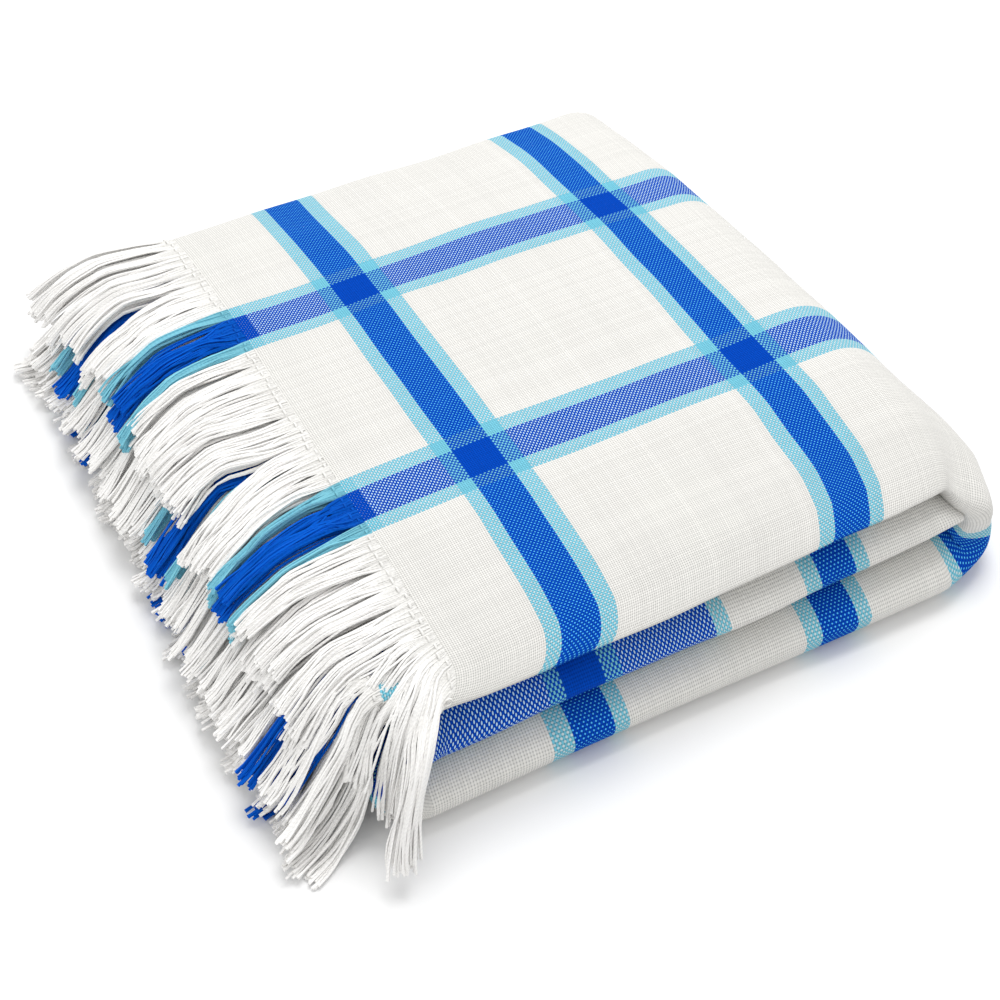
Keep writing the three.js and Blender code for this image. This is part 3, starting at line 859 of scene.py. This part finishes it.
class Nodes:
    """Short names for adding and joining shader nodes."""

    def __init__(self, tree):
        self.tree = tree
        self.count = 0

    def add(self, kind, **values):
        node = self.tree.nodes.new(kind)
        node.location = (-1600 + 180 * (self.count % 9), 600 - 170 * (self.count // 9))
        self.count += 1
        for key, value in values.items():
            setattr(node, key, value)
        return node

    def link(self, source, target):
        self.tree.links.new(source, target)

    def feed(self, socket, value):
        if isinstance(value, (int, float, tuple)):
            socket.default_value = value
        else:
            self.link(value, socket)

    def math(self, operation, a, b=0.0, c=0.0):
        node = self.add("ShaderNodeMath", operation=operation)
        for socket, value in zip(node.inputs, (a, b, c)):
            self.feed(socket, value)
        return node.outputs[0]

    def plus(self, a, b):
        return self.math("ADD", a, b)

    def minus(self, a, b):
        return self.math("SUBTRACT", a, b)

    def times(self, a, b):
        return self.math("MULTIPLY", a, b)

    def over(self, a, b):
        return self.math("DIVIDE", a, b)

    def mix(self, share, a, b):
        node = self.add("ShaderNodeMix", data_type="RGBA")
        self.feed(node.inputs[0], share)
        self.feed(node.inputs[6], a)
        self.feed(node.inputs[7], b)
        return node.outputs[2]

    def multiplied(self, share, a, b):
        node = self.add("ShaderNodeMix", data_type="RGBA", blend_type="MULTIPLY")
        for i, value in ((0, share), (6, a), (7, b)):
            self.feed(node.inputs[i], value)
        return node.outputs[2]

    def bump(self, height, strength, distance):
        node = self.add("ShaderNodeBump")
        node.inputs["Strength"].default_value = strength
        node.inputs["Distance"].default_value = distance
        self.link(height, node.inputs["Height"])
        return node.outputs[0]

    def range(self, value, low, high, to_low=0.0, to_high=1.0, smooth_step=True):
        node = self.add("ShaderNodeMapRange", interpolation_type="SMOOTHSTEP" if smooth_step else "LINEAR")
        for socket, x in zip((0, 1, 2, 3, 4), (value, low, high, to_low, to_high)):
            self.feed(node.inputs[socket], x)
        return node.outputs[0]


def sockets(tree, inputs, outputs):
    """Gives a node group its inputs, as (name, kind, default), and its outputs, as (name, kind)."""
    for name, kind, default in inputs:
        socket = tree.interface.new_socket(name, in_out="INPUT", socket_type=kind)
        if default is not None:
            socket.default_value = default
    for name, kind in outputs:
        tree.interface.new_socket(name, in_out="OUTPUT", socket_type=kind)


def weave_group():
    """Plain weave: which yarn lies on top at each crossing, how high it stands, and the small holes between yarns."""
    tree = bpy.data.node_groups.new("plain_weave", "ShaderNodeTree")
    inputs = [("Length", 0.0), ("Width", 0.0), ("Warp Strength", 0.0), ("Weft Strength", 0.0), ("Pitch", 1.3)]
    outputs = ("Warp Share", "Height", "Gap", "Tone")
    sockets(
        tree,
        [(name, "NodeSocketFloat", default) for name, default in inputs],
        [(name, "NodeSocketFloat") for name in outputs],
    )
    n = Nodes(tree)
    into, out = n.add("NodeGroupInput"), n.add("NodeGroupOutput")
    u = n.over(into.outputs["Length"], into.outputs["Pitch"])
    v = n.over(into.outputs["Width"], into.outputs["Pitch"])
    iu, iv = n.math("FLOOR", u), n.math("FLOOR", v)
    fu = n.minus(n.minus(u, iu), 0.5)
    fv = n.minus(n.minus(v, iv), 0.5)
    parity = n.math("FLOORED_MODULO", n.plus(iu, iv), 2.0)  # 0: the warp, along the length, is on top
    weft_top = n.math("GREATER_THAN", parity, 0.5)
    warp_top = n.minus(1.0, weft_top)
    au, av = n.math("ABSOLUTE", fu), n.math("ABSOLUTE", fv)
    # Each yarn on top shows as an oval, from its middle along it and beside it. A stronger yarn's is bigger.
    along = n.plus(n.times(au, warp_top), n.times(av, weft_top))
    beside = n.plus(n.times(av, warp_top), n.times(au, weft_top))
    lead = n.minus(into.outputs["Warp Strength"], into.outputs["Weft Strength"])
    size = n.plus(1.0, n.times(n.times(lead, n.minus(warp_top, weft_top)), 0.46))
    long_part = n.math("POWER", n.over(along, n.times(size, 0.72)), 2.0)
    short_part = n.math("POWER", n.over(beside, n.times(size, 0.47)), 2.0)
    oval = n.plus(long_part, short_part)
    on_top = n.range(oval, 0.75, 1.25, 1.0, 0.0)
    warp = n.plus(n.times(on_top, warp_top), n.times(n.minus(1.0, on_top), weft_top))
    height = n.math("MAXIMUM", n.minus(1.0, n.times(oval, 0.55)), 0.15)
    # The gaps, which the cloth darkens as painted shade: a hole at each corner of a cell, and fainter lines between the
    # yarns.
    corner = n.times(n.range(au, 0.1, 0.48), n.range(av, 0.1, 0.48))
    corner = n.plus(n.times(corner, 0.75), n.times(n.range(au, 0.2, 0.5), 0.22))
    corner = n.plus(corner, n.times(n.range(av, 0.25, 0.5), 0.06))
    tone_place = n.add("ShaderNodeCombineXYZ")
    n.link(n.times(iv, warp_top), tone_place.inputs[0])
    n.link(n.times(iu, weft_top), tone_place.inputs[1])
    n.link(weft_top, tone_place.inputs[2])
    noise = n.add("ShaderNodeTexWhiteNoise", noise_dimensions="3D")
    n.link(tone_place.outputs[0], noise.inputs["Vector"])
    n.link(warp, out.inputs["Warp Share"])
    n.link(height, out.inputs["Height"])
    n.link(corner, out.inputs["Gap"])
    n.link(noise.outputs["Value"], out.inputs["Tone"])
    return tree


def stripe_levels(n, distance):
    """0 on the ground, 0.5 on the light border and 1 on the band, for a distance from a stripe's middle."""
    light = n.math("LESS_THAN", distance, BORDER)
    blue = n.math("LESS_THAN", distance, BAND)
    return n.times(n.plus(light, blue), 0.5)


def three_colours(n, level, white, light, blue):
    """White, light blue or blue, by the stripe's level."""
    first = n.mix(n.math("GREATER_THAN", level, 0.25), white, light)
    return n.mix(n.math("GREATER_THAN", level, 0.75), first, blue)


def stripe_pattern(n, yarn_u, yarn_v):
    """The stripe levels of the warp and of the weft yarn at a place of the cloth."""
    nearest = None
    for middle in CROSS_STRIPES:
        away = n.math("ABSOLUTE", n.minus(yarn_u, middle))
        nearest = away if nearest is None else n.math("MINIMUM", nearest, away)
    warp = stripe_levels(n, n.math("PINGPONG", yarn_v, REPEAT / 2))
    # The stripe on the middle roll stops short, in a light border.
    off = n.math("ABSOLUTE", n.minus(yarn_v, 3 * REPEAT))
    past_end = n.times(n.math("LESS_THAN", off, BORDER + 2), n.math("GREATER_THAN", yarn_u, ROLL_STRIPE_END))
    near_end = n.math("LESS_THAN", yarn_u, ROLL_STRIPE_END + BORDER - BAND)
    border = n.times(near_end, n.math("GREATER_THAN", warp, 0.25))
    warp = n.plus(n.times(warp, n.minus(1.0, past_end)), n.times(n.times(past_end, border), 0.5))
    return warp, stripe_levels(n, nearest)


def cloth_colour(n, warp, weft, warp_share, settings):
    """The colour of the yarn that shows at a place of the cloth."""
    white, light, blue = (tuple(c) + (1.0,) for c in (settings.white, settings.light_blue, settings.blue))
    # White yarns seen between blue ones are small and take on their colour.
    deep, pale = (0.03, 0.45, 0.88, 1.0), (0.36, 0.62, 0.88, 1.0)
    warp_white = n.mix(n.times(n.math("GREATER_THAN", weft, 0.75), 0.92), white, deep)
    weft_white = n.mix(n.times(n.math("GREATER_THAN", warp, 0.75), 0.75), white, pale)
    warp_white = n.mix(n.times(n.math("COMPARE", weft, 0.5, 0.1), 0.35), warp_white, light)
    weft_white = n.mix(n.times(n.math("COMPARE", warp, 0.5, 0.1), 0.35), weft_white, light)
    warp_colour = three_colours(n, warp, warp_white, light, blue)
    weft_colour = three_colours(n, weft, weft_white, light, blue)
    return n.mix(warp_share, weft_colour, warp_colour)


def cloth_material(settings, weave):
    """Plain-woven cotton with the check in its yarns."""
    material = bpy.data.materials.new("checked_cotton")
    material.use_nodes = True
    tree = material.node_tree
    n = Nodes(tree)
    shader = tree.nodes["Principled BSDF"]
    pitch = settings.yarn_pitch * 1000
    place = n.add("ShaderNodeUVMap", uv_map="Cloth")
    split = n.add("ShaderNodeSeparateXYZ")
    n.link(place.outputs[0], split.inputs[0])
    wander = n.add("ShaderNodeTexNoise", noise_dimensions="2D")
    wander.inputs["Scale"].default_value = 11.0
    wander.inputs["Detail"].default_value = 1.0
    n.link(place.outputs[0], wander.inputs["Vector"])
    drift = n.add("ShaderNodeSeparateXYZ")
    n.link(wander.outputs["Color"], drift.inputs[0])
    u = n.plus(n.times(split.outputs[0], 1000.0), n.times(n.minus(drift.outputs[0], 0.5), WANDER))
    shift_v = n.times(n.minus(drift.outputs[1], 0.5), WANDER)
    stripe_v = n.plus(n.times(split.outputs[1], 1000.0), shift_v)
    even = n.add("ShaderNodeSeparateXYZ")
    n.link(n.add("ShaderNodeUVMap", uv_map="Weave").outputs[0], even.inputs[0])
    v = n.plus(n.times(even.outputs[1], 1000.0), shift_v)
    # Each yarn has one colour, so stripe edges step from yarn to yarn.
    yarn_u = n.times(n.plus(n.math("FLOOR", n.over(u, pitch)), 0.5), pitch)
    to_middle = n.minus(n.times(n.plus(n.math("FLOOR", n.over(v, pitch)), 0.5), pitch), v)
    warp, weft = stripe_pattern(n, yarn_u, n.plus(stripe_v, to_middle))
    woven = n.add("ShaderNodeGroup", node_tree=weave)
    n.link(u, woven.inputs["Length"])
    n.link(v, woven.inputs["Width"])
    header = n.math("LESS_THAN", u, HEADER_LENGTH)
    n.link(n.times(warp, n.plus(0.62, n.times(header, 1.1))), woven.inputs["Warp Strength"])
    n.link(weft, woven.inputs["Weft Strength"])
    woven.inputs["Pitch"].default_value = pitch
    colour = cloth_colour(n, warp, weft, woven.outputs["Warp Share"], settings)
    # Painted shade: the gaps and the yarns' low parts are darker. Besides that, each yarn has its own tone.
    shade_and_tone = n.minus(1.0, n.times(woven.outputs["Gap"], 0.42))
    shade_and_tone = n.times(shade_and_tone, n.plus(0.86, n.times(woven.outputs["Height"], 0.17)))
    shade_and_tone = n.times(shade_and_tone, n.plus(0.945, n.times(woven.outputs["Tone"], 0.11)))
    grey = n.add("ShaderNodeCombineColor")
    for i in range(3):
        n.link(shade_and_tone, grey.inputs[i])
    n.link(n.multiplied(1.0, colour, grey.outputs[0]), shader.inputs["Base Color"])
    fuzz = n.add("ShaderNodeTexNoise", noise_dimensions="2D")
    fuzz.inputs["Scale"].default_value = 900.0
    n.link(place.outputs[0], fuzz.inputs["Vector"])
    n.link(n.range(fuzz.outputs["Fac"], 0.3, 0.7, 0.8, 0.95, False), shader.inputs["Roughness"])
    height = n.plus(woven.outputs["Height"], n.times(fuzz.outputs["Fac"], 0.25))
    n.link(n.bump(height, 0.6, 0.0004), shader.inputs["Normal"])
    shader.inputs["Specular IOR Level"].default_value = 0.03
    return material


def yarn_group():
    """Twisted yarn: slanting plies, and a slightly different tone for every yarn."""
    tree = bpy.data.node_groups.new("twisted_yarn", "ShaderNodeTree")
    sockets(
        tree,
        [("Place", "NodeSocketVector", None), ("Twist", "NodeSocketFloat", 2.2)],
        [("Height", "NodeSocketFloat"), ("Tone", "NodeSocketFloat")],
    )
    n = Nodes(tree)
    into, out = n.add("NodeGroupInput"), n.add("NodeGroupOutput")
    split = n.add("ShaderNodeSeparateXYZ")
    n.link(into.outputs["Place"], split.inputs[0])
    run = n.times(split.outputs[0], 1000.0)
    number = n.math("FLOOR", split.outputs[1])
    turn = n.minus(split.outputs[1], number)
    phase = n.plus(n.over(run, into.outputs["Twist"]), n.times(turn, 2.0))
    ply = n.math("PINGPONG", phase, 0.5)
    noise = n.add("ShaderNodeTexWhiteNoise", noise_dimensions="1D")
    n.link(number, noise.inputs["W"])
    place = n.add("ShaderNodeCombineXYZ")
    n.link(n.times(run, 0.14), place.inputs[0])
    n.link(n.times(number, 3.7), place.inputs[1])
    soft = n.add("ShaderNodeTexNoise", noise_dimensions="2D")
    soft.inputs["Scale"].default_value = 1.0
    n.link(place.outputs[0], soft.inputs["Vector"])
    tone = n.plus(n.times(noise.outputs["Value"], 0.6), n.times(soft.outputs["Fac"], 0.4))
    n.link(n.times(ply, 2.0), out.inputs["Height"])
    n.link(tone, out.inputs["Tone"])
    return tree


def yarn_material(name, colour, spread, group):
    """Loose yarn of one colour, whose tones lie within a spread below it and half of that above it."""
    material = bpy.data.materials.new(name)
    material.use_nodes = True
    tree = material.node_tree
    n = Nodes(tree)
    shader = tree.nodes["Principled BSDF"]
    place = n.add("ShaderNodeUVMap", uv_map="Yarn")
    yarn = n.add("ShaderNodeGroup", node_tree=group)
    n.link(place.outputs[0], yarn.inputs["Place"])
    low = tuple(c * (1 - spread) for c in colour) + (1.0,)
    high = tuple(min(c * (1 + spread * 0.5), 1.0) for c in colour) + (1.0,)
    base = n.mix(yarn.outputs["Tone"], low, high)
    # Painted shade in the grooves between the twisted plies.
    valley_shade = n.range(yarn.outputs["Height"], 0.0, 0.6, 0.24, 0.0)
    base = n.multiplied(valley_shade, base, (0.62, 0.62, 0.66, 1.0))
    # Painted light: the loose yarns are coloured lighter than the woven cloth, to make up for the shade among them, and
    # are darker near their roots, close to the cloth's tone.
    run = n.add("ShaderNodeSeparateXYZ")
    n.link(place.outputs[0], run.inputs[0])
    root = n.range(run.outputs[0], 0.002, 0.024, 1.0, 0.0)
    n.link(n.multiplied(root, base, (0.84, 0.84, 0.83, 1.0)), shader.inputs["Base Color"])
    n.link(n.range(yarn.outputs["Tone"], 0.0, 1.0, 0.9, 0.75, False), shader.inputs["Roughness"])
    n.link(n.bump(yarn.outputs["Height"], 0.5, 0.00015), shader.inputs["Normal"])
    shader.inputs["Specular IOR Level"].default_value = 0.06
    shader.inputs["Sheen Weight"].default_value = 0.02
    shader.inputs["Sheen Roughness"].default_value = 0.45
    return material


# ---------------------------------------------------------------- settings, operators and panel


class BlanketSettings(bpy.types.PropertyGroup):
    white: bpy.props.FloatVectorProperty(
        name="White yarn",
        description="Colour of the ground",
        subtype="COLOR",
        size=3,
        min=0,
        max=1,
        default=(0.72, 0.71, 0.68),
    )
    # Lighter than the woven white, though it is the same yarn: painted light that makes up for the shade among the
    # loose yarns.
    fringe_white: bpy.props.FloatVectorProperty(
        name="White fringe",
        description="Colour of the loose white yarns",
        subtype="COLOR",
        size=3,
        min=0,
        max=1,
        default=(0.89, 0.88, 0.86),
    )
    blue: bpy.props.FloatVectorProperty(
        name="Blue yarn",
        description="Colour of the check's bands",
        subtype="COLOR",
        size=3,
        min=0,
        max=1,
        default=(0.0005, 0.055, 0.43),
    )
    light_blue: bpy.props.FloatVectorProperty(
        name="Light blue yarn",
        description="Colour of the bands' borders",
        subtype="COLOR",
        size=3,
        min=0,
        max=1,
        default=(0.16, 0.49, 0.62),
    )
    fringe_length: bpy.props.FloatProperty(
        name="Fringe length",
        description="From the cloth's edge to the tips",
        default=0.082,
        min=0.03,
        max=0.095,
        unit="LENGTH",
    )
    yarn_thickness: bpy.props.FloatProperty(
        name="Yarn thickness",
        description="Diameter of one fringe yarn",
        default=0.0013,
        min=0.0005,
        max=0.002,
        unit="LENGTH",
    )
    yarn_pitch: bpy.props.FloatProperty(
        name="Yarn pitch",
        description="From one woven yarn to the next",
        default=0.00115,
        min=0.0008,
        max=0.003,
        unit="LENGTH",
    )


class StageSettings(bpy.types.PropertyGroup):
    floor_size: bpy.props.FloatProperty(
        name="Floor size",
        description="Side of the pale floor",
        default=30.0,
        min=2.0,
        max=60.0,
        unit="LENGTH",
    )
    light_power: bpy.props.FloatProperty(
        name="Light power",
        description="Power of the main soft light",
        default=24.0,
        min=0.5,
        max=200.0,
        unit="POWER",
    )


def node_group(name, build):
    """A node group that is built once."""
    return bpy.data.node_groups.get(name) or build()


class BLANKET_OT_cloth(bpy.types.Operator):
    """Make the folded woven cloth"""

    bl_idname = "blanket.cloth"
    bl_label = "Folded cloth"

    def execute(self, context):
        settings = context.scene.blanket
        cloth = cloth_mesh(cloth_material(settings, node_group("plain_weave", weave_group)))
        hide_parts("folded_cloth")
        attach(cloth, "root")
        return {"FINISHED"}


class BLANKET_OT_fringes(bpy.types.Operator):
    """Make the knotted fringes of both ends"""

    bl_idname = "blanket.fringes"
    bl_label = "Fringes"

    def execute(self, context):
        settings = context.scene.blanket
        group = node_group("twisted_yarn", yarn_group)
        materials = [
            yarn_material(name, tuple(min(c * k, 1) for c, k in zip(colour, change)), spread, group)
            for name, colour, change, spread in (
                ("white_yarn", settings.fringe_white, (1.0, 1.0, 1.0), 0.03),
                ("blue_yarn", settings.blue, (1.0, 1.9, 1.35), 0.2),
                ("light_blue_yarn", settings.light_blue, (1.3, 1.12, 1.08), 0.1),
            )
        ]
        for name, side, top, node in (
            ("outer_fringe_top", "a", True, "fringe_outer_end"),
            ("outer_fringe_below", "a", False, "fringe_outer_end"),
            ("inner_fringe_top", "b", True, "fringe_inner_end"),
            ("inner_fringe_below", "b", False, "fringe_inner_end"),
        ):
            fringe = fringe_mesh(name, side, top, settings, materials)
            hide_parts(node)
            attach(fringe, "root")
        cloth = bpy.data.objects.get("woven_cloth")
        if cloth is None:
            raise RuntimeError("make the folded cloth before its fringes")
        return {"FINISHED"}


def area_light(name, power, location, target):
    """A round, soft lamp."""
    light = bpy.data.lights.new(name, "AREA")
    light.energy = power
    light.shape = "DISK"
    light.size = LAMP_SIZE
    lamp = bpy.data.objects.new(name, light)
    bpy.context.scene.collection.objects.link(lamp)
    aim(lamp, location, target)


def aim(thing, location, target):
    """Places a thing and turns its -Z axis to the target, in metres, with no roll."""
    back = np.array(location, float) - np.array(target, float)
    back /= np.linalg.norm(back)
    heading = math.atan2(back[0], -back[1])
    tilt = math.acos(max(-1.0, min(1.0, back[2])))
    thing.location = location
    thing.rotation_euler = (tilt, 0.0, heading)


class BLANKET_OT_stage(bpy.types.Operator):
    """Make the pale floor, the soft lights and the camera"""

    bl_idname = "blanket.stage"
    bl_label = "Stage"

    def execute(self, context):
        settings = context.scene.blanket_stage
        half = settings.floor_size * 500
        paper = bpy.data.materials.new("pale_floor")
        paper.use_nodes = True
        shader = paper.node_tree.nodes["Principled BSDF"]
        shader.inputs["Base Color"].default_value = (FLOOR_GREY, FLOOR_GREY, FLOOR_GREY, 1)
        shader.inputs["Roughness"].default_value = 1.0
        shader.inputs["Specular IOR Level"].default_value = 0.0
        corners = [(-half, -half, 0), (half, -half, 0), (half, half, 0), (-half, half, 0)]
        floor = mesh_object("floor", np.array(corners, float), np.array([[0, 1, 2, 3]]), [paper])
        world = context.scene.world or bpy.data.worlds.new("studio")
        context.scene.world = world
        world.use_nodes = True
        sky = world.node_tree.nodes["Background"]
        sky.inputs[0].default_value = (1, 1, 1, 1)
        sky.inputs[1].default_value = SKY_STRENGTH
        for name, share, location, target in LAMPS:
            area_light(name, settings.light_power * share, location, target)
        camera = bpy.data.cameras.new("camera")
        camera.lens = CAMERA_LENS
        camera.sensor_width = CAMERA_SENSOR
        camera.clip_start = 0.01
        camera.clip_end = 100.0
        eye = bpy.data.objects.new("camera", camera)
        context.scene.collection.objects.link(eye)
        aim(eye, CAMERA_PLACE, CAMERA_TARGET)
        context.scene.camera = eye
        context.scene.view_settings.view_transform = "Standard"
        return {"FINISHED"}


class BLANKET_PT_panel(bpy.types.Panel):
    bl_idname = "BLANKET_PT_panel"
    bl_label = "Folded Blanket"
    bl_space_type = "VIEW_3D"
    bl_region_type = "UI"
    bl_category = "Blanket"

    def draw(self, context):
        column = self.layout.column()
        for group in (context.scene.blanket, context.scene.blanket_stage):
            for key in group.bl_rna.properties.keys():
                if key not in ("rna_type", "name"):
                    column.prop(group, key)
            column.separator()
        for operator in OPERATORS:
            column.operator(operator.bl_idname)


OPERATORS = (BLANKET_OT_cloth, BLANKET_OT_fringes, BLANKET_OT_stage)
CLASSES = (BlanketSettings, StageSettings, *OPERATORS, BLANKET_PT_panel)


def register():
    for cls in CLASSES:
        bpy.utils.register_class(cls)
    bpy.types.Scene.blanket = bpy.props.PointerProperty(type=BlanketSettings)
    bpy.types.Scene.blanket_stage = bpy.props.PointerProperty(type=StageSettings)


def unregister():
    del bpy.types.Scene.blanket_stage
    del bpy.types.Scene.blanket
    for cls in reversed(CLASSES):
        bpy.utils.unregister_class(cls)


def main():
    register()
    bpy.ops.blanket.cloth()
    bpy.ops.blanket.fringes()
    bpy.ops.blanket.stage()


if __name__ == "__main__":
    main()
